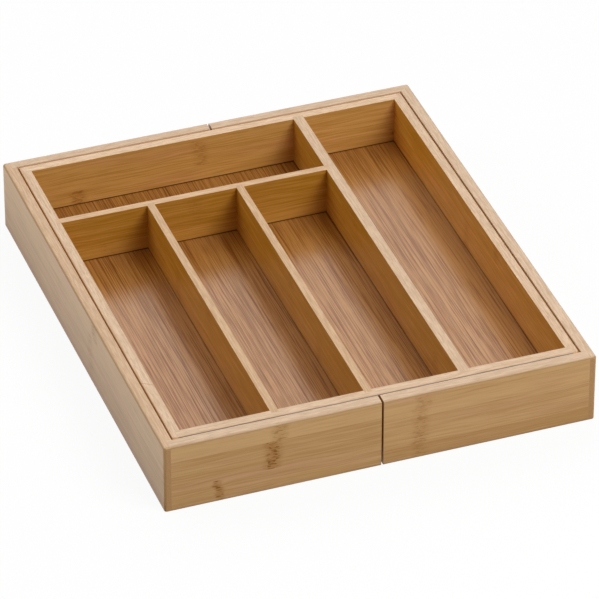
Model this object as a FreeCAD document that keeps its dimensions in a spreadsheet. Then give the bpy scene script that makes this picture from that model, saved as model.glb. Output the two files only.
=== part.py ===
import FreeCAD, Part
import os
import re

# Expandable cutlery tray of laminated bamboo boards, closed. Millimetres, X to the right, Y to the back, Z up, with
# the origin on the ground under the middle of the tray. An inner tray with five compartments stands in an outer frame.
# The frame is split at its middle into a left and a right half, and each half slides out with a floor of its own.

SIZES = (
    ("first_width", 67.8, "clear width of the first long compartment, at the left"),
    ("second_width", 65.1, "clear width of the second long compartment"),
    ("third_width", 66.5, "clear width of the third long compartment"),
    ("right_width", 74.6, "clear width of the right compartment"),
    ("front_length", 275.2, "clear length of the three long compartments"),
    ("back_depth", 68.2, "clear depth of the back compartment"),
    ("compartment_depth", 39.0, "depth of the compartments below the rim"),
    ("outer_board", 8.8, "thickness of the walls of the outer halves"),
    ("inner_board", 8.4, "thickness of the walls of the inner tray"),
    ("long_board", 8.4, "thickness of the long divider"),
    ("thin_board", 6.0, "thickness of the cross divider and the short dividers"),
    ("floor_board", 4.0, "thickness of the floor panels"),
    ("outer_lip", 4.2, "height of the outer floors' undersides above the ground"),
    ("inner_lip", 5.0, "height of the inner floor's underside above the inner walls' lower edges"),
    ("side_gap", 0.6, "gap between the inner tray and the closed halves' side walls"),
    ("end_gap", 0.6, "gap between the inner tray and the halves' front and back walls"),
    ("glide_gap", 0.3, "gap between the inner walls' lower edges and the outer floors"),
    ("seam_gap", 1.4, "gap between the two closed halves"),
    ("rebate_depth", 3.6, "how far the ends of front and back walls are let into the side walls"),
    ("dado_depth", 3.0, "how far the ends of dividers are let into the walls and the long divider"),
    ("thin_dado_depth", 2.5, "how far the short dividers are let into the cross divider"),
    ("floor_entry", 3.0, "how far the floor panels enter the grooves of the walls"),
    ("floor_play", 0.5, "room beyond the edges of the floor panels in their grooves"),
    ("tongue_length", 16.0, "length of a guide tongue"),
    ("tongue_height", 5.0, "height of a guide tongue"),
    ("tongue_seat", 3.0, "how far a guide tongue is let into the inner tray"),
    ("tongue_reach", 3.0, "how far a guide tongue reaches into the groove of an outer half"),
    ("tongue_inset", 10.0, "distance of a guide tongue from the side of the inner tray"),
    ("tongue_rise", 10.0, "height of the guide tongues above the inner floor"),
    ("tongue_play", 0.3, "room between a guide tongue and each side of its groove"),
    ("slide_travel", 105.0, "how far each half slides out"),
    ("outer_easing", 2.0, "radius of the frame's upright corners and upper outer edges"),
    ("ground_easing", 1.0, "radius of the frame's lower outer edges"),
    ("corner_easing", 2.0, "radius of the inner tray's upright corners"),
    ("rim_easing", 0.3, "radius of the other edges that are rounded by hand sanding"),
)

# Places of the faces, measured from the middle of the tray and from the ground.
PLACES = (
    ("inner_in_x", "(first_width + second_width + third_width + right_width + 2 * thin_board + long_board) / 2"),
    ("inner_x", "inner_in_x + inner_board"),
    ("outer_in_x", "inner_x + side_gap"),
    ("outer_x", "outer_in_x + outer_board"),
    ("left_short_x", "first_width - inner_in_x"),
    ("right_short_x", "left_short_x + thin_board + second_width"),
    ("long_x", "right_short_x + thin_board + third_width"),
    ("inner_in_y", "(front_length + thin_board + back_depth) / 2"),
    ("inner_y", "inner_in_y + inner_board"),
    ("outer_in_y", "inner_y + end_gap"),
    ("outer_y", "outer_in_y + outer_board"),
    ("cross_y", "front_length - inner_in_y"),
    ("outer_floor_top", "outer_lip + floor_board"),
    ("inner_z", "outer_floor_top + glide_gap"),
    ("inner_floor_z", "inner_z + inner_lip"),
    ("inner_floor_top", "inner_floor_z + floor_board"),
    ("rim_z", "inner_floor_top + compartment_depth"),
    ("tongue_x", "inner_x - tongue_inset"),
    ("tongue_z", "inner_floor_top + tongue_rise"),
)

SIZES_SHEET = "Sizes"
PLACES_SHEET = "Places"
SHEET_OF = {}
SHEET_OF.update((row[0], SIZES_SHEET) for row in SIZES)
SHEET_OF.update((row[0], PLACES_SHEET) for row in PLACES)
SAME_PLACE = 1e-6

doc = FreeCAD.newDocument("cutlery_tray")


def formula(text):
    """An expression on the sheets: every word of the text becomes its cell."""
    return re.sub(r"[a-z_]+", lambda word: SHEET_OF[word.group()] + "." + word.group(), text)


def make_sheet(name, rows):
    """A sheet with one named cell in each row, given as alias, content and note."""
    sheet = doc.addObject("Spreadsheet::Sheet", name)
    for number, (alias, content, note) in enumerate(rows, start=1):
        sheet.set(f"A{number}", note)
        sheet.set(f"B{number}", content)
        sheet.setAlias(f"B{number}", alias)
    doc.recompute()
    return sheet


def mirrored(span):
    """The same span on the other side of the middle."""
    low, high = span
    return f"-({high})", f"-({low})"


def box(label, x, y, z):
    """A block between two places along each axis, each given as a pair of formulas."""
    block = doc.addObject("Part::Box", label)
    for size, axis, (low, high) in zip(("Length", "Width", "Height"), "xyz", (x, y, z)):
        block.setExpression(size, formula(f"({high}) - ({low})"))
        block.setExpression(f"Placement.Base.{axis}", formula(low))
    return block


def common(label, base, tool):
    """What two solids share."""
    shared = doc.addObject("Part::Common", label)
    shared.Base = base
    shared.Tool = tool
    return shared


def joined(label, solids):
    """Several solids taken together."""
    union = doc.addObject("Part::MultiFuse", label)
    union.Shapes = solids
    return union


def cut(label, base, tools):
    """A solid with one or more others cut away."""
    rest = doc.addObject("Part::Cut", label)
    rest.Base = base
    rest.Tool = tools[0] if len(tools) == 1 else joined(label + "_cutters", tools)
    rest.Refine = True
    return rest


def ease(label, base, choices):
    """Rounds the edges of a solid. Each choice is a radius and a test of both ends of an edge."""
    doc.recompute()
    chosen = {}
    for radius, test in choices:
        for number, edge in enumerate(base.Shape.Edges, start=1):
            if number not in chosen and test(*[vertex.Point for vertex in edge.Vertexes]):
                chosen[number] = (number, radius, radius)
    eased = doc.addObject("Part::Fillet", label)
    eased.Base = base
    eased.Edges = list(chosen.values())
    return eased


def both_at(axis, place):
    """A test for edges whose two ends lie at this distance from the middle, or at this height."""
    return lambda a, b: all(abs(abs(point[axis]) - place) < SAME_PLACE for point in (a, b))


def either(*tests):
    """A test that is met where any of these is."""
    return lambda a, b: any(test(a, b) for test in tests)


def every(*tests):
    """A test that is met where all of these are."""
    return lambda a, b: all(test(a, b) for test in tests)


sizes = make_sheet(SIZES_SHEET, [(alias, str(number), note) for alias, number, note in SIZES])
places = make_sheet(PLACES_SHEET, [(alias, "=" + formula(text), text) for alias, text in PLACES])
sub_parts = []

# Spans that many boards share.
INNER_HEIGHT = ("inner_z", "rim_z")
OUTER_HEIGHT = ("0", "rim_z")
DIVIDER_HEIGHT = ("inner_floor_top", "rim_z")
INNER_FLOOR_HEIGHT = ("inner_floor_z", "inner_floor_top")
OUTER_FLOOR_HEIGHT = ("outer_lip", "outer_floor_top")
INNER_WIDTH = ("-inner_x", "inner_x")
INNER_DEPTH = ("-inner_y", "inner_y")
OUTER_DEPTH = ("-outer_y", "outer_y")
CLEAR_WIDTH = ("-inner_in_x", "inner_in_x")
CLEAR_DEPTH = ("-inner_in_y", "inner_in_y")
LONG_CLEAR = ("-inner_in_y", "cross_y")
INNER_LEFT = ("-inner_x", "-inner_in_x")
INNER_FRONT = ("-inner_y", "-inner_in_y")
OUTER_LEFT = ("-outer_x", "-outer_in_x")
OUTER_FRONT = ("-outer_y", "-outer_in_y")
X_AXIS, Y_AXIS, Z_AXIS = range(3)

# The glued-up inner tray: a block with its five compartments and the recess under its floor, sanded as one piece.
inner_blank = cut(
    "inner_tray_blank",
    box("inner_tray_block", INNER_WIDTH, INNER_DEPTH, INNER_HEIGHT),
    [
        box("first_space", ("-inner_in_x", "left_short_x"), LONG_CLEAR, DIVIDER_HEIGHT),
        box("second_space", ("left_short_x + thin_board", "right_short_x"), LONG_CLEAR, DIVIDER_HEIGHT),
        box("third_space", ("right_short_x + thin_board", "long_x"), LONG_CLEAR, DIVIDER_HEIGHT),
        box("back_space", ("-inner_in_x", "long_x"), ("cross_y + thin_board", "inner_in_y"), DIVIDER_HEIGHT),
        box("right_space", ("long_x + long_board", "inner_in_x"), CLEAR_DEPTH, DIVIDER_HEIGHT),
        box("under_floor_space", CLEAR_WIDTH, CLEAR_DEPTH, ("inner_z", "inner_floor_z")),
    ],
)
inner_tray = ease("inner_tray_eased", inner_blank, [
    (sizes.corner_easing, every(both_at(X_AXIS, places.inner_x), both_at(Y_AXIS, places.inner_y))),
    (sizes.rim_easing, both_at(Z_AXIS, places.rim_z)),
])

# Each board's own share of the glued-up tray, with its ends let into its neighbours.
INNER_END_WIDTH = ("-inner_in_x - rebate_depth", "inner_in_x + rebate_depth")
inner_blanks = {
    "inner_left_wall": box("inner_left_blank", INNER_LEFT, INNER_DEPTH, INNER_HEIGHT),
    "inner_right_wall": box("inner_right_blank", mirrored(INNER_LEFT), INNER_DEPTH, INNER_HEIGHT),
    "inner_front_wall": box("inner_front_blank", INNER_END_WIDTH, INNER_FRONT, INNER_HEIGHT),
    "inner_back_wall": box("inner_back_blank", INNER_END_WIDTH, mirrored(INNER_FRONT), INNER_HEIGHT),
    "long_divider": box(
        "long_blank",
        ("long_x", "long_x + long_board"),
        ("-inner_in_y - dado_depth", "inner_in_y + dado_depth"),
        DIVIDER_HEIGHT,
    ),
    "cross_divider": box(
        "cross_blank",
        ("-inner_in_x - dado_depth", "long_x + dado_depth"),
        ("cross_y", "cross_y + thin_board"),
        DIVIDER_HEIGHT,
    ),
}
for name in ("left_short", "right_short"):
    inner_blanks[name + "_divider"] = box(
        name + "_blank",
        (f"{name}_x", f"{name}_x + thin_board"),
        ("-inner_in_y - dado_depth", "cross_y + thin_dado_depth"),
        DIVIDER_HEIGHT,
    )

INNER_FLOOR_WIDTH = ("-inner_in_x - floor_entry", "inner_in_x + floor_entry")
INNER_FLOOR_DEPTH = ("-inner_in_y - floor_entry", "inner_in_y + floor_entry")
INNER_GROOVE_WIDTH = ("-inner_in_x - floor_entry - floor_play", "inner_in_x + floor_entry + floor_play")
INNER_GROOVE_DEPTH = ("-inner_in_y - floor_entry - floor_play", "inner_in_y + floor_entry + floor_play")
sub_parts.append(box("inner_floor", INNER_FLOOR_WIDTH, INNER_FLOOR_DEPTH, INNER_FLOOR_HEIGHT))
inner_groove = box("inner_floor_groove", INNER_GROOVE_WIDTH, INNER_GROOVE_DEPTH, INNER_FLOOR_HEIGHT)

# The guide tongues: slips let into the inner front and back walls, with their outer edges rounded to run freely.
TONGUE_WIDTH = ("-tongue_x", "tongue_length - tongue_x")
TONGUE_DEPTH = ("-outer_in_y - tongue_reach", "tongue_seat - inner_y")
TONGUE_HEIGHT = ("tongue_z", "tongue_z + tongue_height")
SIDES = {"left": lambda span: span, "right": mirrored}
ENDS = {"front": lambda span: span, "back": mirrored}
tongue_tip = sizes.tongue_reach + places.outer_in_y
tongue_blanks = {}
for end, on_end in ENDS.items():
    for side, on_side in SIDES.items():
        name = f"{end}_{side}_tongue"
        tongue_blanks[end, side] = box(name + "_blank", on_side(TONGUE_WIDTH), on_end(TONGUE_DEPTH), TONGUE_HEIGHT)
        sub_parts.append(ease(name, tongue_blanks[end, side], [(sizes.rim_easing, both_at(Y_AXIS, tongue_tip))]))

# What is let into each board of the inner tray.
HOUSED = {
    "inner_left_wall": ("inner_front_wall", "inner_back_wall", "cross_divider"),
    "inner_right_wall": ("inner_front_wall", "inner_back_wall"),
    "inner_front_wall": ("long_divider", "left_short_divider", "right_short_divider"),
    "inner_back_wall": ("long_divider",),
    "long_divider": ("cross_divider",),
    "cross_divider": ("left_short_divider", "right_short_divider"),
    "left_short_divider": (),
    "right_short_divider": (),
}
for name, guests in HOUSED.items():
    housings = [inner_blanks[guest] for guest in guests]
    if name.endswith("wall"):
        housings.append(inner_groove)
    for end in ENDS:
        if name == f"inner_{end}_wall":
            housings += [tongue_blanks[end, side] for side in SIDES]
    if housings:
        sub_parts.append(cut(name, common(name + "_share", inner_tray, inner_blanks[name]), housings))
    else:
        sub_parts.append(common(name, inner_tray, inner_blanks[name]))

# The outer halves: each is a frame open towards the middle, sanded as one piece and then parted into its boards.
HALF_WIDTH = ("-outer_x", "-seam_gap / 2")
HALF_SPACE_WIDTH = ("-outer_in_x", "-seam_gap / 2")
HALF_SPACE_DEPTH = ("-outer_in_y", "outer_in_y")
HALF_END_WIDTH = ("-outer_in_x - rebate_depth", "-seam_gap / 2")
HALF_FLOOR_WIDTH = ("-outer_in_x - floor_entry", "-seam_gap / 2")
HALF_FLOOR_DEPTH = ("-outer_in_y - floor_entry", "outer_in_y + floor_entry")
HALF_GROOVE_WIDTH = ("-outer_in_x - floor_entry - floor_play", "-seam_gap / 2")
HALF_GROOVE_DEPTH = ("-outer_in_y - floor_entry - floor_play", "outer_in_y + floor_entry + floor_play")
SLIDE_WIDTH = ("-tongue_x - tongue_play", "tongue_length - tongue_x + slide_travel + tongue_play")
SLIDE_DEPTH = ("-outer_in_y - tongue_reach - tongue_play", "-outer_in_y")
SLIDE_HEIGHT = ("tongue_z - tongue_play", "tongue_z + tongue_height + tongue_play")
at_outer_side = both_at(X_AXIS, places.outer_x)
at_outer_end = both_at(Y_AXIS, places.outer_y)
at_ground = both_at(Z_AXIS, 0)
at_rim = both_at(Z_AXIS, places.rim_z)
at_seam = both_at(X_AXIS, sizes.seam_gap / 2)
for side, on_side in SIDES.items():
    half_blank = cut(
        f"{side}_half_blank",
        box(f"{side}_half_block", on_side(HALF_WIDTH), OUTER_DEPTH, OUTER_HEIGHT),
        [box(f"{side}_half_space", on_side(HALF_SPACE_WIDTH), HALF_SPACE_DEPTH, OUTER_HEIGHT)],
    )
    half = ease(f"{side}_half_eased", half_blank, [
        (sizes.rim_easing, at_seam),
        (sizes.outer_easing, every(either(at_outer_side, at_outer_end), at_rim)),
        (sizes.ground_easing, every(either(at_outer_side, at_outer_end), at_ground)),
        (sizes.outer_easing, every(at_outer_side, at_outer_end)),
        (sizes.rim_easing, at_rim),
    ])
    floor_groove = box(f"{side}_floor_groove", on_side(HALF_GROOVE_WIDTH), HALF_GROOVE_DEPTH, OUTER_FLOOR_HEIGHT)
    sub_parts.append(box(f"{side}_floor", on_side(HALF_FLOOR_WIDTH), HALF_FLOOR_DEPTH, OUTER_FLOOR_HEIGHT))
    end_blanks = []
    for end, on_end in ENDS.items():
        name = f"{side}_{end}_wall"
        end_blank = box(name + "_blank", on_side(HALF_END_WIDTH), on_end(OUTER_FRONT), OUTER_HEIGHT)
        end_blanks.append(end_blank)
        slide_groove = box(name + "_groove", on_side(SLIDE_WIDTH), on_end(SLIDE_DEPTH), SLIDE_HEIGHT)
        sub_parts.append(cut(name, common(name + "_share", half, end_blank), [floor_groove, slide_groove]))
    name = f"{side}_side_wall"
    side_blank = box(name + "_blank", on_side(OUTER_LEFT), OUTER_DEPTH, OUTER_HEIGHT)
    sub_parts.append(cut(name, common(name + "_share", half, side_blank), end_blanks + [floor_groove]))

doc.recompute()
for item in doc.Objects:
    if "Invalid" in item.State or "Error" in item.State:
        raise RuntimeError(f"{item.Label} failed: {item.State}")
for board in sub_parts:
    if board.Shape.isNull() or not board.Shape.isValid() or len(board.Shape.Solids) != 1:
        raise RuntimeError(f"{board.Label} is not one valid solid")

os.makedirs("parts", exist_ok=True)
for board in sub_parts:
    board.Shape.exportStep(os.path.join("parts", board.Label + ".step"))
print(f"{len(sub_parts)} sub-parts, {2 * places.outer_x} x {2 * places.outer_y} x {places.rim_z} mm closed")
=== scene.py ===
"""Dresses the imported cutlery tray: bamboo finishes for its boards, a pale studio stage and the camera."""
import math
from typing import NamedTuple

import bmesh
import bpy
from bpy.props import FloatProperty, FloatVectorProperty, PointerProperty
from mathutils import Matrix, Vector


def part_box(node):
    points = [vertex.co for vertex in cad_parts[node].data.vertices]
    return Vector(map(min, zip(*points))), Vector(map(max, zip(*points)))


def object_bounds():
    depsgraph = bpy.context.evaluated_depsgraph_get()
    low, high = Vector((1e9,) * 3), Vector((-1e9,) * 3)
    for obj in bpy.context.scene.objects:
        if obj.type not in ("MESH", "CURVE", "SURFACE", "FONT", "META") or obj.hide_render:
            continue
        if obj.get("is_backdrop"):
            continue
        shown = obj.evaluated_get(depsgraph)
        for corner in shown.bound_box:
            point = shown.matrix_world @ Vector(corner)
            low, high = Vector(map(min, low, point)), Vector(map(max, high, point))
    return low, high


bl_info = {
    "name": "Bamboo Cutlery Tray",
    "version": (1, 0, 0),
    "blender": (4, 5, 0),
    "location": "3D View > Sidebar > Tray",
    "description": "Gives the boards of an extending cutlery tray their finishes and sets up a studio stage",
    "category": "Object",
}

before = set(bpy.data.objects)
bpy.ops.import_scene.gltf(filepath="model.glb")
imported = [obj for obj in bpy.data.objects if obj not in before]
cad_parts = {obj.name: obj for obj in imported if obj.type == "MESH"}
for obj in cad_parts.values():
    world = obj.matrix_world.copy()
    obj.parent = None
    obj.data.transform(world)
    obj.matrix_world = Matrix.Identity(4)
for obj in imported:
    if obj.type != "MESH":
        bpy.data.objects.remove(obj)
CAD_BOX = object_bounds()
TRAY_FLOOR_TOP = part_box("inner_floor")[1].z
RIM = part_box("inner_front_wall")[1].z
HALF_HEIGHT = 0.028

# Axes along the grain, across the face and through the thickness of a board.
X, Y, Z = 0, 1, 2
ALONG_X = (X, Z, Y)
ALONG_Y = (Y, Z, X)
FLOOR_LAY = (Y, X, Z)


class Wire:
    """One shader socket. Arithmetic on it adds Math nodes to the same tree."""

    def __init__(self, finish, socket):
        self.finish = finish
        self.socket = socket

    def of(self, output):
        """Another output of the same node."""
        return Wire(self.finish, self.socket.node.outputs[output])

    def math(self, operation, *values):
        return self.finish.node("Math", {"operation": operation}, dict(enumerate(values)))

    def __add__(self, other):
        return self.math("ADD", self, other)

    def __sub__(self, other):
        return self.math("SUBTRACT", self, other)

    def __rsub__(self, other):
        return self.math("SUBTRACT", other, self)

    def __mul__(self, other):
        return self.math("MULTIPLY", self, other)

    def __truediv__(self, other):
        return self.math("DIVIDE", self, other)

    def __rtruediv__(self, other):
        return self.math("DIVIDE", other, self)

    def __gt__(self, other):
        return self.math("GREATER_THAN", self, other)

    def __lt__(self, other):
        return self.math("LESS_THAN", self, other)

    def __abs__(self):
        return self.math("ABSOLUTE", self)

    def __floor__(self):
        return self.math("FLOOR", self)

    def __round__(self):
        return self.math("ROUND", self)

    __radd__ = __add__
    __rmul__ = __mul__


class Layer(NamedTuple):
    """One layer of the bamboo's figure.

    along and across are its waves to the metre with and across the grain, shift is how far a board's seed
    moves it along the grain, detail how many finer waves it carries, and share how much it gives.
    """

    along: float
    across: float
    shift: float = 1.0
    detail: float = 2.0
    share: float = 1.0


class Finish:
    """The node tree of a material or of the world, and the one way its nodes are made."""

    def __init__(self, owner):
        owner.use_nodes = True
        self.owner = owner
        self.tree = owner.node_tree
        self.tree.nodes.clear()

    def node(self, kind, settings=None, sockets=None, output=0):
        """Adds a node: its settings first, then its sockets, each given a value or a link."""
        made = self.tree.nodes.new("ShaderNode" + kind)
        for key, value in (settings or {}).items():
            setattr(made, key, value)
        for key, value in (sockets or {}).items():
            if isinstance(value, Wire):
                self.tree.links.new(value.socket, made.inputs[key])
            else:
                made.inputs[key].default_value = value
        return Wire(self, made.outputs[output]) if made.outputs else None

    def laid(self, layer, seed, place):
        """A place on a board in the waves of one layer."""
        u, v, w = place
        return self.node("CombineXYZ", sockets={
            "X": u * layer.along + layer.shift * seed, "Y": v * layer.across, "Z": w * layer.across})

    def figure(self, layer, seed, place):
        """One layer of a board's figure, from -0.5 to 0.5."""
        return self.node("TexNoise", sockets={
            "Vector": self.laid(layer, seed, place), "Scale": 1.0, "Detail": layer.detail}) - 0.5

    def chance(self, number):
        """A random value from 0 to 1 that stays the same for the same number."""
        return self.node("TexWhiteNoise", {"noise_dimensions": "1D"}, {"W": number})

    def ramp(self, value, low, high):
        """0 below low and 1 above high, smooth between; a low above high turns it round."""
        settings = {"interpolation_type": "SMOOTHSTEP"}
        if low <= high:
            return self.node("MapRange", settings, {0: value, 1: low, 2: high, 3: 0.0, 4: 1.0})
        return self.node("MapRange", settings, {0: value, 1: high, 2: low, 3: 1.0, 4: 0.0})

    def blend(self, share, base, over):
        """The colour base with that share of the colour over it."""
        return self.node("Mix", {"data_type": "RGBA"}, {0: share, 6: base, 7: over}, output=2)


def colour_setting(name, description, red, green, blue):
    return FloatVectorProperty(
        name=name, description=description, subtype="COLOR", size=4, min=0.0, max=1.0,
        default=(red, green, blue, 1.0))


class BambooTones(bpy.types.PropertyGroup):
    """Colours of the lacquered bamboo."""

    tan_pale: colour_setting("Pale Tan", "Lightest grain of the outer boards", 0.660, 0.395, 0.160)
    tan_deep: colour_setting("Deep Tan", "Darkest grain of the outer boards", 0.490, 0.258, 0.086)
    tan_rosy: colour_setting("Rosy Tan", "Reddest grain of the outer boards", 0.660, 0.372, 0.178)
    honey_pale: colour_setting("Pale Honey", "Lightest grain of the inner boards", 0.660, 0.332, 0.060)
    honey_deep: colour_setting("Deep Honey", "Darkest grain of the inner boards", 0.470, 0.210, 0.015)
    honey_rosy: colour_setting("Rosy Honey", "Reddest grain of the inner boards", 0.660, 0.300, 0.060)
    amber_pale: colour_setting("Pale Amber", "Lightest grain of the inner back wall", 0.690, 0.390, 0.115)
    amber_deep: colour_setting("Deep Amber", "Darkest grain of the inner back wall", 0.520, 0.262, 0.055)
    amber_rosy: colour_setting("Rosy Amber", "Reddest grain of the inner back wall", 0.700, 0.365, 0.135)
    # Also used as painted light under the rim of the faces seen through the gap round the inner tray.
    cream_pale: colour_setting("Pale Cream", "Palest parts of the walls' top edges", 0.740, 0.516, 0.330)
    cream_deep: colour_setting("Deep Cream", "Warmest parts of the walls' top edges", 0.590, 0.386, 0.228)
    gold_pale: colour_setting("Pale Gold", "Palest parts of the thin boards' top edges", 0.730, 0.476, 0.262)
    gold_deep: colour_setting("Deep Gold", "Warmest parts of the thin boards' top edges", 0.570, 0.334, 0.166)
    dash: colour_setting("Rim Dashes", "Short dark fibres in the sanded top edges", 0.460, 0.285, 0.145)
    # Also used as painted shade: along the left side wall's lower edge and in the gap beside the inner left
    # wall.
    stain: colour_setting("Knuckle Stain", "Stain round the cane's knuckles", 0.390, 0.165, 0.028)
    fleck: colour_setting("Knuckle Flecks", "Dark flecks in the cane's knuckles", 0.250, 0.088, 0.010)
    end_grain: colour_setting("End Grain", "Cut ends of the boards", 0.495, 0.270, 0.105)
    # Painted shade for the outer boards' eased upper edges and their lower edges.
    painted_edge_shade: colour_setting("Painted Edge Shade", "Dark line on the outer boards' eased edges", 0.380, 0.222, 0.088)
    floor_pale: colour_setting("Pale Floor Slats", "Lightest grain of the floors", 0.484, 0.220, 0.046)
    floor_deep: colour_setting("Deep Floor Slats", "Darkest grain of the floors", 0.290, 0.106, 0.010)
    floor_golden: colour_setting("Golden Floor Slats", "Yellowest slats of the floors", 0.498, 0.227, 0.042)
    floor_line: colour_setting("Floor Fibre Lines", "Darkest fibres of the floors", 0.215, 0.064, 0.006)
    # Real dark joints between the floor slats, and also painted shade: the line where the walls meet the
    # tray's floor, and the band under the rim in the front gap.
    shadow: colour_setting("Joint Lines and Painted Shade", "Dirt in the joints between the boards", 0.085, 0.034, 0.010)


class BambooGrain(bpy.types.PropertyGroup):
    """Sizes of the bamboo's pattern, and its lacquer."""

    strip: FloatProperty(
        name="Strip Width", description="Width of one cane strip on a wall's face", unit="LENGTH",
        min=0.004, max=0.06, default=0.024)
    slat: FloatProperty(
        name="Floor Slat Width", description="Width of one slat of the floors", unit="LENGTH",
        min=0.001, max=0.02, default=0.0034)
    internode: FloatProperty(
        name="Knuckle Spacing", description="Distance between the knuckles along a strip", unit="LENGTH",
        min=0.08, max=0.6, default=0.260)
    lacquer: FloatProperty(
        name="Lacquer Roughness", description="Roughness of the lacquer on the boards", subtype="FACTOR",
        min=0.05, max=1.0, default=0.34)
    floor_lacquer: FloatProperty(
        name="Floor Lacquer Roughness", description="Roughness of the lacquer on the floors",
        subtype="FACTOR", min=0.05, max=1.0, default=0.25)
    sheen: FloatProperty(
        name="Lacquer IOR", description="Refractive index of the lacquer on the boards",
        min=1.0, max=2.0, default=1.53)
    floor_sheen: FloatProperty(
        name="Floor Lacquer IOR", description="Refractive index of the lacquer on the floors",
        min=1.0, max=2.0, default=1.58)


class StageLook(bpy.types.PropertyGroup):
    """Floor, light and camera."""

    paper: colour_setting("Paper", "Colour of the stage's floor", 0.970, 0.970, 0.970)
    bounce: colour_setting("Paper Bounce", "Light that the stage's floor throws back", 0.450, 0.450, 0.450)
    ambient: FloatProperty(
        name="Ambient Light", description="Strength of the room's light", min=0.0, max=2.0, default=0.21)
    key: FloatProperty(
        name="Key Light", description="Power of the softbox at the right of the camera", unit="POWER",
        min=0.0, max=500.0, default=29.5)
    fill: FloatProperty(
        name="Fill Light", description="Power of the softbox at the left of the tray", unit="POWER",
        min=0.0, max=500.0, default=7.5)
    rear: FloatProperty(
        name="Rear Light", description="Power of the softbox behind the tray", unit="POWER",
        min=0.0, max=500.0, default=22.0)
    azimuth: FloatProperty(
        name="Camera Azimuth", description="Turn of the camera round the tray, from the front",
        subtype="ANGLE", default=math.radians(-19.83))
    elevation: FloatProperty(
        name="Camera Elevation", description="Height of the camera above the horizon", subtype="ANGLE",
        default=math.radians(35.29))
    distance: FloatProperty(
        name="Camera Distance", description="Distance from the camera to its aim", unit="LENGTH",
        min=0.5, max=20.0, default=3.879)
    lens: FloatProperty(
        name="Lens", description="Focal length of the camera in millimetres",
        min=10.0, max=1000.0, default=311.7)


class Strip(NamedTuple):
    """One cane strip of a board's face: its depth of tone, and its knuckle's place, strength and breadth."""

    tone: float = 0.0
    place: float = 0.0
    strength: float = 0.0
    breadth: float = 1.0


class Board(NamedTuple):
    """How one board is cut and finished.

    lay gives the axes along the grain, across the face and through the thickness, and seed its own figure.
    hues and top name the tones of its faces and of its sanded top edge, and level and top_level scale them.
    streaks is the contrast of its grain, joint the height of the lowest glue joint between its strips, and
    fade how much deeper it gets for each metre down. ground_shade gives the height and tone of the painted
    shade along its lower edge, and painted_edge_shade how much painted shade darkens its eased upper edge.
    splice gives the place and slant of a butt joint. paler_band is where, across a floor, its slats turn
    paler.

    Sides are counted through the thickness, as -1 and 1: shell gives those finished like the outer boards,
    foot those that meet the tray's floor, where a dark line of painted shade runs, and gap those that face
    the gap round the inner tray, each with the tone painted under the rim, dark for painted shade and pale
    for painted light, and how far down.
    """

    node: str
    lay: tuple
    hues: tuple
    seed: float
    level: float = 1.0
    streaks: float = 1.0
    joint: float = 0.0185
    strips: tuple = (Strip(),)
    fade: float = 0.0
    ground_shade: tuple = ()
    shell: tuple = ()
    top: tuple = ("cream_pale", "cream_deep")
    top_level: float = 1.0
    foot: tuple = ()
    gap: tuple = ()
    painted_edge_shade: float = 0.0
    splice: tuple = ()
    paler_band: tuple = ()


# Sets of tones, and what the outer boards share.
TAN = ("tan_pale", "tan_deep", "tan_rosy")
SANDY = ("amber_pale", "tan_deep", "amber_rosy")
HONEY = ("honey_pale", "honey_deep", "honey_rosy")
AMBER = ("amber_pale", "amber_deep", "amber_rosy")
SLATS = ("floor_pale", "floor_deep", "floor_golden")
GOLD = ("gold_pale", "gold_deep")
# Painted shade along the lower edge of the outer boards, in the tone of their eased edges.
OUTER_GROUND_SHADE = (0.003, "painted_edge_shade")
# Painted light: a pale band under the rim of the faces seen through the gap round the inner tray, which lie
# in shade.
GAP_PAINTED_LIGHT = ((-1, "cream_pale", 0.0045),)

OUTER_WALLS = (
    Board(
        "left_front_wall", ALONG_X, TAN, seed=1.3, level=1.02, streaks=0.65, top_level=0.93,
        ground_shade=OUTER_GROUND_SHADE, painted_edge_shade=0.85,
        strips=(Strip(0.05, -0.1240, 0.80, 0.55), Strip(0.10, -0.0825, 0.85), Strip(-0.30, -0.0775, 0.45))),
    Board(
        "right_front_wall", ALONG_X, TAN, seed=2.9, level=1.035, streaks=0.65, top_level=0.93, joint=0.0125,
        ground_shade=OUTER_GROUND_SHADE, painted_edge_shade=0.85,
        strips=(Strip(0.25, 0.0285, 0.25), Strip(0.0, 0.0297, 0.35), Strip(-0.15, 0.0306, 0.30))),
    Board(
        "left_back_wall", ALONG_X, TAN, seed=4.1, top_level=0.935, joint=0.021,
        ground_shade=OUTER_GROUND_SHADE, painted_edge_shade=0.85, gap=GAP_PAINTED_LIGHT,
        strips=(Strip(0.10, -0.0500, 0.50), Strip(-0.10, -0.1180, 0.70), Strip(0.0, -0.0840, 0.40))),
    Board(
        "right_back_wall", ALONG_X, TAN, seed=5.7, top_level=0.935, joint=0.010,
        ground_shade=OUTER_GROUND_SHADE, painted_edge_shade=0.85, gap=GAP_PAINTED_LIGHT,
        strips=(Strip(-0.05, 0.1100, 0.50), Strip(0.12, 0.0640, 0.60), Strip(-0.15, 0.1240, 0.40))),
    Board(
        "left_side_wall", ALONG_Y, SANDY, seed=6.3, level=0.95, streaks=0.55, top=GOLD, top_level=0.87,
        # Painted shade along its lower edge, in the knuckle stain's tone.
        fade=11.0, ground_shade=(0.012, "stain"), painted_edge_shade=0.70,
        strips=(Strip(0.0, -0.0230, 0.20), Strip(0.0, -0.0220, 0.20), Strip(0.0, -0.0330, 0.40))),
    Board(
        "right_side_wall", ALONG_Y, TAN, seed=7.9, top_level=0.95, joint=0.015,
        ground_shade=OUTER_GROUND_SHADE, painted_edge_shade=0.85, gap=GAP_PAINTED_LIGHT,
        strips=(Strip(0.10, 0.0700, 0.50), Strip(-0.05, -0.0600, 0.60), Strip(-0.15, 0.0200, 0.40))),
)
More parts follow.
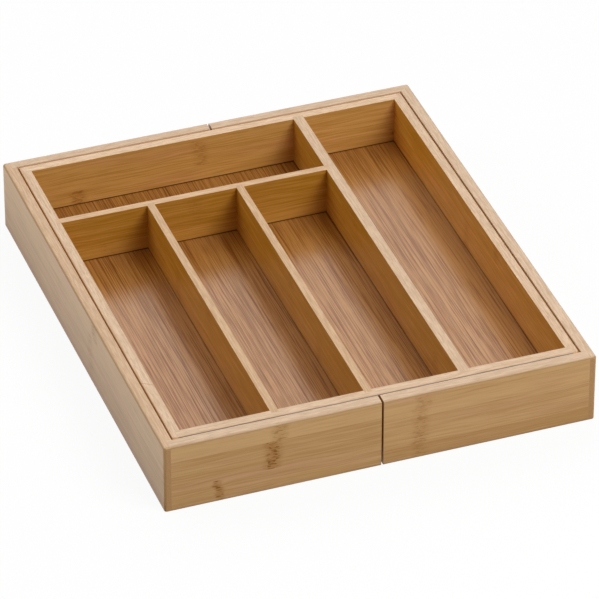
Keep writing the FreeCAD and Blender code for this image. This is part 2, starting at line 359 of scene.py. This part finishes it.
INNER_WALLS = (
    Board(
        # Painted shade under the rim of its outer face, in the front gap.
        "inner_front_wall", ALONG_X, HONEY, seed=11.1, foot=(1,), shell=(-1,), gap=((-1, "shadow", 0.0020),),
        strips=(Strip(0.10, -0.0200, 0.30), Strip(0.0, 0.0600, 0.30), Strip(-0.10, 0.1000, 0.30))),
    Board(
        "inner_back_wall", ALONG_X, AMBER, seed=12.7, level=0.99, top_level=1.115, joint=0.030,
        foot=(-1,), shell=(1,),
        strips=(Strip(0.05, -0.1110, 0.60), Strip(-0.05, -0.0120, 0.30), Strip(0.05, 0.0400, 0.30))),
    Board(
        "inner_left_wall", ALONG_Y, HONEY, seed=13.3, top_level=0.995, foot=(1,), shell=(-1,),
        # Painted shade under the rim of its outer face, in the gap, in the knuckle stain's tone.
        gap=((-1, "stain", 0.0030),), splice=((-0.2161, -0.67),),
        strips=(Strip(0.10, -0.0400, 0.30), Strip(-0.10, 0.0500, 0.30), Strip(0.0, 0.1200, 0.30))),
    Board(
        "inner_right_wall", ALONG_Y, HONEY, seed=14.9, level=1.12, streaks=1.2, fade=-12.0, top_level=1.01,
        foot=(-1,), shell=(1,),
        strips=(Strip(0.0, -0.0900, 0.20), Strip(-0.05, 0.0200, 0.25), Strip(0.0, -0.0400, 0.25))),
)
DIVIDERS = (
    Board(
        "long_divider", ALONG_Y, HONEY, seed=15.1, level=0.98, streaks=1.2, fade=-12.0, top_level=0.96,
        foot=(-1, 1),
        strips=(Strip(0.0, -0.0600, 0.20), Strip(0.0, -0.1300, 0.25), Strip(0.0, 0.0400, 0.25))),
    Board(
        "cross_divider", ALONG_X, HONEY, seed=16.3, level=0.87, joint=0.0295, top=GOLD, foot=(-1, 1),
        strips=(Strip(-0.15, -0.1100, 0.20), Strip(0.15, -0.0400, 0.20), Strip(0.0, 0.0200, 0.20))),
    Board(
        "left_short_divider", ALONG_Y, HONEY, seed=17.9, level=0.97, streaks=1.2, fade=-12.0, top=GOLD,
        top_level=0.92, foot=(-1, 1),
        strips=(Strip(0.0, -0.1100, 0.20), Strip(0.0, 0.0300, 0.20), Strip(0.0, -0.0400, 0.20))),
    Board(
        "right_short_divider", ALONG_Y, HONEY, seed=18.7, level=0.98, streaks=1.2, fade=-12.0, top=GOLD,
        top_level=0.92, foot=(-1, 1),
        strips=(Strip(0.0, 0.0500, 0.20), Strip(0.0, -0.0800, 0.20), Strip(0.0, -0.0200, 0.20))),
)
OUTER_FLOORS = (
    Board("left_floor", FLOOR_LAY, SLATS, seed=8.2),
    Board("right_floor", FLOOR_LAY, SLATS, seed=9.4),
)
INNER_FLOOR = Board("inner_floor", FLOOR_LAY, SLATS, seed=20.2, paler_band=(0.117, 0.133))
TONGUE_SEED, TONGUE_SEED_STEP = 21.0, 1.7

# Figure of the boards on edge: their faces, the knuckles, the sanded rims and the cut ends.
SWAY = Layer(14.0, 60.0, share=0.006)
BROAD = Layer(6.0, 150.0, detail=3.0, share=0.5)
STREAK = Layer(16.0, 720.0, shift=-1.0, share=1.4)
THREAD = Layer(32.0, 1250.0, shift=2.0, share=1.3)
FIBRE = Layer(55.0, 2600.0, shift=3.0, share=0.7)
FLUSH = Layer(11.0, 70.0, shift=-2.0)
WANDER = Layer(0.0, 200.0, share=0.010)
WISPS = Layer(60.0, 1100.0, share=1.8)
SPOTS = Layer(230.0, 900.0, detail=1.0)
BLUSH = Layer(60.0, 260.0, share=0.9)
SANDED = Layer(70.0, 850.0, shift=-1.0, share=3.0)
DASHES = Layer(170.0, 1200.0, detail=1.0, share=0.40)
PORES = Layer(25.0, 1150.0, shift=0.0, share=0.4)

# Figure of the floors.
SLAT_BEND = Layer(6.0, 30.0, share=0.0010)
SLAT_STREAK = Layer(8.0, 900.0, shift=-1.0, share=1.2)
SLAT_THREAD = Layer(16.0, 1300.0, share=2.3)
SLAT_FIBRE = Layer(60.0, 2600.0, share=1.5)
SLAT_SHADE = 0.10
SHADE_DRAW, JOINT_DRAW, HUE_DRAW = 7.31, 4.9, 3.7

# Where a mark begins and where it is full, in a layer's values.
ROSY = (-0.05, 0.20)
SPOTTED = (0.03, 0.09)
DASHED = (0.04, 0.14)
LINED = (0.05, 0.17)
PORED = (0.42, 0.18)
PALE_TO_DEEP = (0.0, 1.0)

# The same, in metres from the mark's middle, or in shares of a strip's or a slat's width.
STAINED = (0.0100, 0.0)
FLECKED = (0.0075, 0.0020)
SPLICED = (0.0007, 0.0002)
IN_STRIP = (0.80, 0.42)
SLAT_EDGE = (0.36, 0.47)

# The same, in how far a face turns upward or toward the board's end.
EDGE_BEGINS = (0.10, 0.40)
EDGE_ENDS = (0.96, 0.82)
ON_RIM = (0.70, 0.92)
ON_END = (0.75, 0.95)
SQUARE_ON = 0.5

# Tones: the middle one, what the rim's threads and a floor's paler band add, and how far each mark covers,
# painted shade and light among them.
WALL_TONE = RIM_TONE = 0.5
FLOOR_TONE = 0.42
RIM_THREADS = 2.2
BAND_PALING = 0.30
WISP_BASE = 0.85
STAIN_COVER = 0.8
FOOT_COVER = GAP_COVER = 0.95
GROUND_SHADE_COVER = 0.70
SPLICE_COVER = 0.6
LINE_COVER = 0.75
SLAT_JOINT_COVER = 0.50

# Sizes of the marks, in metres.
KNUCKLE_BOW = 0.006
FOOT_LINE, FOOT_BLUR = 0.0007, 0.0004
GROUND_SHADE_FULL = 0.0005
GAP_FULL = 0.5

# Lacquer: how thick it lies, how much less on dark grain and on knuckles, and what roughens it.
CANE_IOR = 1.1
WALL_COAT, FLOOR_COAT = 0.80, 0.84
WALL_COAT_LOSS, KNUCKLE_COAT_LOSS, FLOOR_COAT_LOSS = 0.30, 0.25, 0.35
STREAK_ROUGHNESS, STAIN_ROUGHNESS, END_ROUGHNESS, SLAT_JOINT_ROUGHNESS = 0.10, 0.06, 0.15, 0.10

# Relief of the grain under the lacquer.
RELIEF_STRENGTH, RELIEF_HEIGHT = 0.10, 0.0004
FIBRE_RELIEF = STREAK_RELIEF = LINE_RELIEF = 0.5
FLECK_RELIEF, DASH_RELIEF = 0.3, 0.25


def dress(board, finish, height, surface):
    """Puts a surface under clear lacquer on every material slot of a board."""
    bump = finish.node("Bump", sockets={
        "Strength": RELIEF_STRENGTH, "Distance": RELIEF_HEIGHT, "Height": height})
    shader = finish.node("BsdfPrincipled", sockets={"Normal": bump, "IOR": CANE_IOR, **surface})
    finish.node("OutputMaterial", sockets={"Surface": shader})
    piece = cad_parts[board.node]
    if not piece.material_slots:
        piece.data.materials.append(finish.owner)
    for slot in piece.material_slots:
        slot.material = finish.owner


def hue(tones, name, level=1.0):
    """One of the tones, at a board's own level."""
    red, green, blue, _ = getattr(tones, name)
    return red * level, green * level, blue * level, 1.0


def by_strip(strips, number, key):
    """A strip's own value, for whichever strip a point lies in."""
    values = [getattr(strip, key) for strip in strips]
    picked = values[0]
    for order in range(1, len(values)):
        picked = (number > order - 0.5) * (values[order] - values[order - 1]) + picked
    return picked


def grained(finish, tones, names, level, dark, rosiness):
    """The colour of a face from its pale, deep and rosy tones."""
    pale, deep, rosy = (hue(tones, name, level) for name in names)
    return finish.blend(dark, finish.blend(rosiness, pale, rosy), deep)


def knuckles(finish, board, grain, place, number, in_strip):
    """How strongly the stain and the flecks of the cane's knuckles show."""
    turns = (place[0] - by_strip(board.strips, number, "place")) / grain.internode
    wander = finish.figure(WANDER, board.seed, place) * WANDER.share
    middle = in_strip - 0.5
    bent = (turns - round(turns)) * grain.internode + wander + middle * middle * KNUCKLE_BOW
    off = abs(bent) / by_strip(board.strips, number, "breadth")
    within = finish.ramp(abs(middle), *IN_STRIP) * by_strip(board.strips, number, "strength")
    wisps = finish.figure(WISPS, board.seed, place) * WISPS.share + WISP_BASE
    stain = finish.ramp(off, *STAINED) * wisps * within
    spots = finish.figure(SPOTS, board.seed, place)
    flecks = finish.ramp(spots, *SPOTTED) * finish.ramp(off, *FLECKED) * within
    return stain, flecks


def edge_marks(finish, board, tones, v, upward, outward, colour, lacquer):
    """A face's colour and lacquer, with painted shade along its lower and eased upper edges and painted shade
    and light under the rim in the gap.
    """
    # Painted shade: a dark line along the foot of the faces that meet the tray's floor, with the lacquer
    # taken off it so that it stays dark.
    for side in board.foot:
        line_top = TRAY_FLOOR_TOP + FOOT_LINE
        painted_foot_shade = finish.ramp(v, line_top + FOOT_BLUR, line_top) * (outward * side > SQUARE_ON)
        colour = finish.blend(painted_foot_shade * FOOT_COVER, colour, hue(tones, "shadow"))
        lacquer = lacquer * (1.0 - painted_foot_shade)
    # Painted shade and painted light under the rim of the faces that look into the gap round the inner tray:
    # the dark tones paint the gap's shade, the pale tone lightens faces that lie in its shade.
    for side, tone, reach in board.gap:
        painted_gap_tone = finish.ramp(v, RIM - reach, RIM - reach * GAP_FULL) * (outward * side > SQUARE_ON)
        colour = finish.blend(painted_gap_tone * GAP_COVER, colour, hue(tones, tone))
    # Painted shade on the eased upper edge, which would otherwise catch more light than the face.
    if board.painted_edge_shade:
        eased = finish.ramp(upward, *EDGE_BEGINS) * finish.ramp(upward, *EDGE_ENDS)
        colour = finish.blend(eased * board.painted_edge_shade, colour, hue(tones, "painted_edge_shade"))
    # Painted shade: the lower edge darkens toward the ground that the board stands on.
    if board.ground_shade:
        shade_reach, tone = board.ground_shade
        colour = finish.blend(finish.ramp(v, shade_reach, GROUND_SHADE_FULL) * GROUND_SHADE_COVER, colour, hue(tones, tone))
    return colour, lacquer


def sanded_rim(finish, board, tones, place, thread):
    """The colour of a board's sanded top edge, and where its short dark fibres are."""
    u, _, w = place
    blush = finish.figure(BLUSH, board.seed, place) * BLUSH.share
    sanded = finish.figure(SANDED, board.seed, place) * SANDED.share
    pale, deep = (hue(tones, name, board.top_level) for name in board.top)
    rim = finish.blend(blush + sanded + thread * RIM_THREADS + RIM_TONE, pale, deep)
    dashes = finish.ramp(finish.figure(DASHES, board.seed, place), *DASHED)
    rim = finish.blend(dashes * DASHES.share, rim, hue(tones, "dash"))
    for at, slant in board.splice:
        butted = finish.ramp(abs(u - w * slant - at), *SPLICED)
        rim = finish.blend(butted * SPLICE_COVER, rim, hue(tones, "stain"))
    return rim, dashes


def cut_end(finish, board, tones, place):
    """The colour of a board's cut end, with the pores of the cane."""
    pores = finish.node("TexVoronoi", {"voronoi_dimensions": "3D"}, {
        "Vector": finish.laid(PORES, board.seed, place), "Scale": 1.0})
    return finish.blend(
        finish.ramp(pores, *PORED) * PORES.share, hue(tones, "end_grain"), hue(tones, "fleck"))


def wall_finish(board, tones, grain):
    """Lacquered bamboo for a board on edge: strips one above another, a sanded top and cut ends."""
    finish = Finish(bpy.data.materials.new("bamboo_" + board.node))
    point = finish.node("TexCoord", output="Object")
    axes = finish.node("SeparateXYZ", sockets={0: point})
    facing = finish.node("SeparateXYZ", sockets={0: point.of("Normal")})
    place = u, v, w = tuple(axes.of("XYZ"[axis]) for axis in board.lay)
    toward_end, upward, outward = (facing.of("XYZ"[axis]) for axis in board.lay)

    lane = (v - board.joint) / grain.strip + 1.0
    number = math.floor(lane)
    swayed = u, v + finish.figure(SWAY, board.seed, place) * SWAY.share, w
    broad = finish.figure(BROAD, board.seed, swayed)
    streak = finish.figure(STREAK, board.seed, swayed)
    thread = finish.figure(THREAD, board.seed, swayed)
    fibre = finish.figure(FIBRE, board.seed, place)
    flush = finish.figure(FLUSH, board.seed, swayed)
    grain_depth = (
        broad * BROAD.share + streak * STREAK.share + thread * THREAD.share
        + fibre * FIBRE.share) * board.streaks
    depth = grain_depth + (HALF_HEIGHT - v) * board.fade + by_strip(board.strips, number, "tone") + WALL_TONE

    dark = finish.ramp(depth, *PALE_TO_DEEP)
    rosiness = finish.ramp(flush, *ROSY)
    colour = grained(finish, tones, board.hues, board.level, dark, rosiness)
    for side in board.shell:
        outside = grained(finish, tones, TAN, 1.0, dark, rosiness)
        colour = finish.blend(outward * side > SQUARE_ON, colour, outside)
    stain, flecks = knuckles(finish, board, grain, place, number, lane - number)
    colour = finish.blend(stain * STAIN_COVER, colour, hue(tones, "stain"))
    colour = finish.blend(flecks, colour, hue(tones, "fleck"))
    lacquer = WALL_COAT - dark * WALL_COAT_LOSS - stain * KNUCKLE_COAT_LOSS - flecks * KNUCKLE_COAT_LOSS
    colour, lacquer = edge_marks(finish, board, tones, v, upward, outward, colour, lacquer)

    rim, dashes = sanded_rim(finish, board, tones, place, thread)
    colour = finish.blend(finish.ramp(upward, *ON_RIM), colour, rim)
    cut = finish.ramp(abs(toward_end), *ON_END)
    colour = finish.blend(cut, colour, cut_end(finish, board, tones, place))

    roughness = grain.lacquer + streak * STREAK_ROUGHNESS + stain * STAIN_ROUGHNESS + cut * END_ROUGHNESS
    height = fibre * FIBRE_RELIEF + streak * STREAK_RELIEF - flecks * FLECK_RELIEF - dashes * DASH_RELIEF
    dress(board, finish, height, {
        "Base Color": colour, "Roughness": roughness, "Coat Weight": lacquer,
        "Coat Roughness": grain.lacquer, "Coat IOR": grain.sheen})


def floor_finish(board, tones, grain):
    """Lacquered bamboo for a floor: narrow slats side by side."""
    finish = Finish(bpy.data.materials.new("bamboo_" + board.node))
    axes = finish.node("SeparateXYZ", sockets={0: finish.node("TexCoord", output="Object")})
    u, v, w = (axes.of("XYZ"[axis]) for axis in board.lay)
    seed = board.seed

    across = finish.figure(SLAT_BEND, seed, (u, v, 0.0)) * SLAT_BEND.share + v
    lane = across / grain.slat + seed
    slat = math.floor(lane)
    edge = abs(lane - slat - 0.5)
    shade = finish.chance(slat + seed * SHADE_DRAW) - 0.5
    streak = finish.figure(SLAT_STREAK, seed, (u, across, w))
    thread = finish.figure(SLAT_THREAD, seed, (u, across, w))
    fibre = finish.figure(SLAT_FIBRE, seed, (u, across, w))
    depth = (
        shade * SLAT_SHADE + streak * SLAT_STREAK.share + thread * SLAT_THREAD.share
        + fibre * SLAT_FIBRE.share + FLOOR_TONE)
    if board.paler_band:
        depth = depth - finish.ramp(v, *board.paler_band) * BAND_PALING
    joint = finish.ramp(edge, *SLAT_EDGE) * finish.chance(slat + seed * JOINT_DRAW)
    lines = finish.ramp(thread, *LINED)

    dark = finish.ramp(depth, *PALE_TO_DEEP)
    golden = finish.chance(slat + seed * HUE_DRAW)
    colour = grained(finish, tones, board.hues, board.level, dark, golden)
    colour = finish.blend(lines * LINE_COVER, colour, hue(tones, "floor_line"))
    colour = finish.blend(joint * SLAT_JOINT_COVER, colour, hue(tones, "shadow"))
    height = fibre * FIBRE_RELIEF + streak * STREAK_RELIEF - lines * LINE_RELIEF - joint
    roughness = grain.floor_lacquer + streak * STREAK_ROUGHNESS + joint * SLAT_JOINT_ROUGHNESS
    dress(board, finish, height, {
        "Base Color": colour, "Roughness": roughness, "Coat Weight": FLOOR_COAT - dark * FLOOR_COAT_LOSS,
        "Coat Roughness": grain.floor_lacquer, "Coat IOR": grain.floor_sheen})


def finish_walls(scene, boards):
    for board in boards:
        wall_finish(board, scene.tray_tones, scene.tray_grain)


def finish_floors(scene, boards):
    for board in boards:
        floor_finish(board, scene.tray_tones, scene.tray_grain)


class TRAY_OT_outer_halves(bpy.types.Operator):
    """Finish the walls and floors of the two halves that pull out"""

    bl_idname = "tray.outer_halves"
    bl_label = "Outer Halves"

    def execute(self, context):
        finish_walls(context.scene, OUTER_WALLS)
        finish_floors(context.scene, OUTER_FLOORS)
        return {"FINISHED"}


class TRAY_OT_inner_walls(bpy.types.Operator):
    """Finish the four walls of the inner tray"""

    bl_idname = "tray.inner_walls"
    bl_label = "Inner Walls"

    def execute(self, context):
        finish_walls(context.scene, INNER_WALLS)
        return {"FINISHED"}


class TRAY_OT_dividers(bpy.types.Operator):
    """Finish the dividers that part the compartments"""

    bl_idname = "tray.dividers"
    bl_label = "Dividers"

    def execute(self, context):
        finish_walls(context.scene, DIVIDERS)
        return {"FINISHED"}


class TRAY_OT_inner_floor(bpy.types.Operator):
    """Finish the floor of the inner tray"""

    bl_idname = "tray.inner_floor"
    bl_label = "Inner Floor"

    def execute(self, context):
        finish_floors(context.scene, (INNER_FLOOR,))
        return {"FINISHED"}


class TRAY_OT_tongues(bpy.types.Operator):
    """Finish the tongues that guide the two halves"""

    bl_idname = "tray.tongues"
    bl_label = "Tongues"

    def execute(self, context):
        tongues = [node for node in sorted(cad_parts) if node.endswith("_tongue")]
        finish_walls(context.scene, [
            Board(node, ALONG_X, HONEY, seed=TONGUE_SEED + TONGUE_SEED_STEP * order)
            for order, node in enumerate(tongues)])
        return {"FINISHED"}


class Softbox(NamedTuple):
    """A rectangular studio light: its name, place, width and height, and the setting of its power."""

    name: str
    place: tuple
    size: tuple
    power: str


SOFTBOXES = (
    Softbox("key_softbox", (0.78, -1.35, 1.57), (1.15, 1.15), "key"),
    Softbox("fill_softbox", (-1.30, 0.60, 0.90), (1.0, 1.0), "fill"),
    Softbox("rear_softbox", (0.45, 1.55, 1.75), (2.6, 1.9), "rear"),
)
AIM = Vector((0.0083, 0.0061, 0.0119))
WHITE = (1.0, 1.0, 1.0, 1.0)
PAPER_GLOW = 0.92
PAPER_REACH = 6.0
PAPER_DROP = 0.0002


def seen_directly(finish):
    """1 for rays from the camera and for mirrored or refracted ones, and 0 for light that falls on things."""
    path = finish.node("LightPath", output="Is Camera Ray")
    seen = path.math("MAXIMUM", path, path.of("Is Glossy Ray"))
    return seen.math("MAXIMUM", seen, path.of("Is Transmission Ray"))


def lay_paper(scene, look):
    """The stage's floor: white paper that keeps the tray's shadow and throws back only some of the light."""
    paper = Finish(bpy.data.materials.new("paper"))
    matt = paper.node("BsdfDiffuse", sockets={"Color": tuple(look.paper)})
    white = paper.node("Emission", sockets={"Color": WHITE, "Strength": 1.0})
    shown = paper.node("MixShader", sockets={0: PAPER_GLOW, 1: matt, 2: white})
    thrown = paper.node("BsdfDiffuse", sockets={"Color": tuple(look.bounce)})
    both = paper.node("MixShader", sockets={0: seen_directly(paper), 1: thrown, 2: shown})
    paper.node("OutputMaterial", sockets={"Surface": both})
    sheet = bmesh.new()
    bmesh.ops.create_grid(sheet, x_segments=1, y_segments=1, size=PAPER_REACH)
    bmesh.ops.translate(sheet, verts=sheet.verts, vec=(0.0, 0.0, -PAPER_DROP))
    mesh = bpy.data.meshes.new("paper_floor")
    sheet.to_mesh(mesh)
    sheet.free()
    mesh.materials.append(paper.owner)
    floor = bpy.data.objects.new("paper_floor", mesh)
    scene.collection.objects.link(floor)
    floor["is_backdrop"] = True


def light_room(scene, look):
    """An even pale room, white where it is seen directly."""
    room = Finish(bpy.data.worlds.new("room"))
    glow = seen_directly(room) * (1.0 - look.ambient) + look.ambient
    sky = room.node("Background", sockets={"Color": WHITE, "Strength": glow})
    room.node("OutputWorld", sockets={"Surface": sky})
    scene.world = room.owner


def hang_softbox(scene, look, box):
    """A studio light aimed at the tray, which the camera doesn't see."""
    lamp = bpy.data.lights.new(box.name, "AREA")
    lamp.shape = "RECTANGLE"
    lamp.size, lamp.size_y = box.size
    lamp.energy = getattr(look, box.power)
    light = bpy.data.objects.new(box.name, lamp)
    light.location = box.place
    light.rotation_euler = (AIM - Vector(box.place)).to_track_quat("-Z", "Y").to_euler()
    light.visible_camera = False
    scene.collection.objects.link(light)


def place_camera(scene, look):
    back = Vector((
        math.sin(look.azimuth) * math.cos(look.elevation),
        -math.cos(look.azimuth) * math.cos(look.elevation),
        math.sin(look.elevation)))
    lens = bpy.data.cameras.new("camera")
    lens.lens = look.lens
    camera = bpy.data.objects.new("camera", lens)
    camera.location = AIM + back * look.distance
    camera.rotation_euler = (-back).to_track_quat("-Z", "Y").to_euler()
    scene.collection.objects.link(camera)
    scene.camera = camera


class TRAY_OT_stage(bpy.types.Operator):
    """Set up the paper floor, the softboxes, the room and the camera"""

    bl_idname = "tray.stage"
    bl_label = "Stage"

    def execute(self, context):
        scene, look = context.scene, context.scene.tray_stage
        scene.view_settings.view_transform = "Standard"
        lay_paper(scene, look)
        light_room(scene, look)
        for box in SOFTBOXES:
            hang_softbox(scene, look, box)
        place_camera(scene, look)
        return {"FINISHED"}


STEPS = (
    TRAY_OT_outer_halves, TRAY_OT_inner_walls, TRAY_OT_dividers, TRAY_OT_inner_floor,
    TRAY_OT_tongues, TRAY_OT_stage,
)
SETTINGS = {"tray_tones": BambooTones, "tray_grain": BambooGrain, "tray_stage": StageLook}


class TRAY_PT_workshop(bpy.types.Panel):
    """Settings and steps of the tray"""

    bl_idname = "TRAY_PT_workshop"
    bl_label = "Bamboo Cutlery Tray"
    bl_space_type = "VIEW_3D"
    bl_region_type = "UI"
    bl_category = "Tray"

    def draw(self, context):
        for name, group in SETTINGS.items():
            box = self.layout.box()
            for key in group.__annotations__:
                box.prop(getattr(context.scene, name), key)
        for step in STEPS:
            self.layout.operator(step.bl_idname)


CLASSES = (*SETTINGS.values(), *STEPS, TRAY_PT_workshop)


def register():
    for kind in CLASSES:
        bpy.utils.register_class(kind)
    for name, group in SETTINGS.items():
        setattr(bpy.types.Scene, name, PointerProperty(type=group))


def unregister():
    for name in SETTINGS:
        delattr(bpy.types.Scene, name)
    for kind in reversed(CLASSES):
        bpy.utils.unregister_class(kind)


def main():
    register()
    bpy.ops.tray.outer_halves()
    bpy.ops.tray.inner_walls()
    bpy.ops.tray.dividers()
    bpy.ops.tray.inner_floor()
    bpy.ops.tray.tongues()
    bpy.ops.tray.stage()
    boxes = {"cad": CAD_BOX, "visual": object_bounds()}
    {name: [list(corner) for corner in box] for name, box in boxes.items()}


if __name__ == "__main__":
    main()
